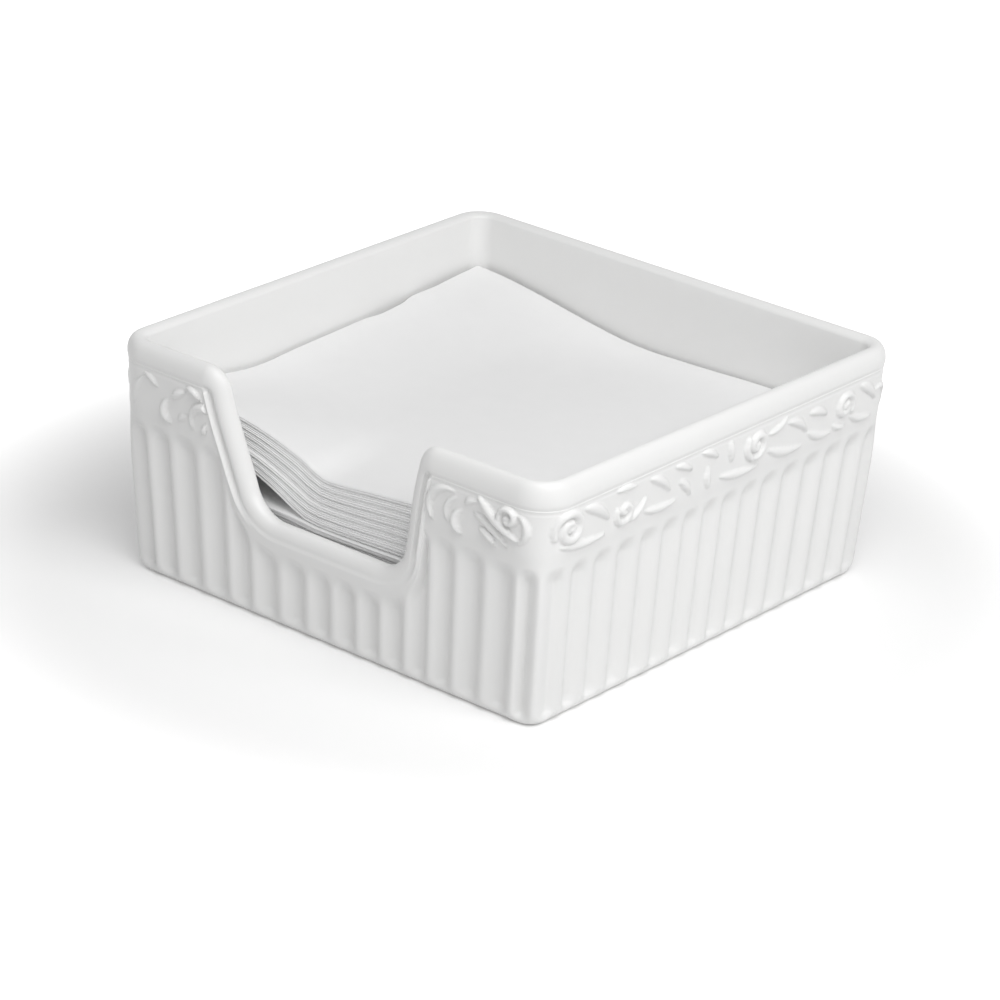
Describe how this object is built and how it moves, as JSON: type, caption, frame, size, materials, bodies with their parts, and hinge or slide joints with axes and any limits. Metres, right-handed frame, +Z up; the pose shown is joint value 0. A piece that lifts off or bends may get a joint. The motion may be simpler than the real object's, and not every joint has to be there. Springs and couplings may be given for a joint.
{
  "type": "napkin holder",
  "caption": "Square glazed ceramic napkin tray with fluted, slightly leaning walls, a scroll frieze under the rim and a finger cut-out in front, filled with folded paper napkins.",
  "frame": {"origin": "on the table, under the middle of the tray", "axes": "+Z up, -Y out through the wall with the finger cut-out"},
  "size_m": [0.191, 0.191, 0.085],
  "materials": {
    "glaze": "soft gloss",
    "paper": "matte"
  },
  "bodies": {
    "tray": {"tray": "glaze"},
    "pile": {"napkin_01": "paper", "napkin_02": "paper", "napkin_03": "paper", "napkin_04": "paper", "napkin_05": "paper", "napkin_06": "paper", "napkin_07": "paper", "napkin_08": "paper", "napkin_09": "paper", "napkin_10": "paper", "napkin_11": "paper", "napkin_12": "paper", "napkin_13": "paper", "napkin_14": "paper", "napkin_15": "paper", "napkin_16": "paper", "napkin_17": "paper", "napkin_18": "paper"},
    "napkin_19": {"napkin_19": "paper"},
    "napkin_20": {"napkin_20": "paper"},
    "napkin_21": {"napkin_21": "paper"},
    "napkin_22": {"napkin_22": "paper"},
    "napkin_23": {"napkin_23": "paper"},
    "napkin_24": {"napkin_24": "paper"}
  },
  "joints": [
    {"name": "pile_lift", "type": "slide", "parent": "tray", "child": "pile", "axis": [0, 0, 1], "range_m": [0, 0.095]},
    {"name": "napkin_19_lift", "type": "slide", "parent": "pile", "child": "napkin_19", "axis": [0, 0, 1], "range_m": [0, 0.04]},
    {"name": "napkin_20_lift", "type": "slide", "parent": "napkin_19", "child": "napkin_20", "axis": [0, 0, 1], "range_m": [0, 0.04]},
    {"name": "napkin_21_lift", "type": "slide", "parent": "napkin_20", "child": "napkin_21", "axis": [0, 0, 1], "range_m": [0, 0.04]},
    {"name": "napkin_22_lift", "type": "slide", "parent": "napkin_21", "child": "napkin_22", "axis": [0, 0, 1], "range_m": [0, 0.04]},
    {"name": "napkin_23_lift", "type": "slide", "parent": "napkin_22", "child": "napkin_23", "axis": [0, 0, 1], "range_m": [0, 0.04]},
    {"name": "napkin_24_lift", "type": "slide", "parent": "napkin_23", "child": "napkin_24", "axis": [0, 0, 1], "range_m": [0, 0.04]}
  ]
}
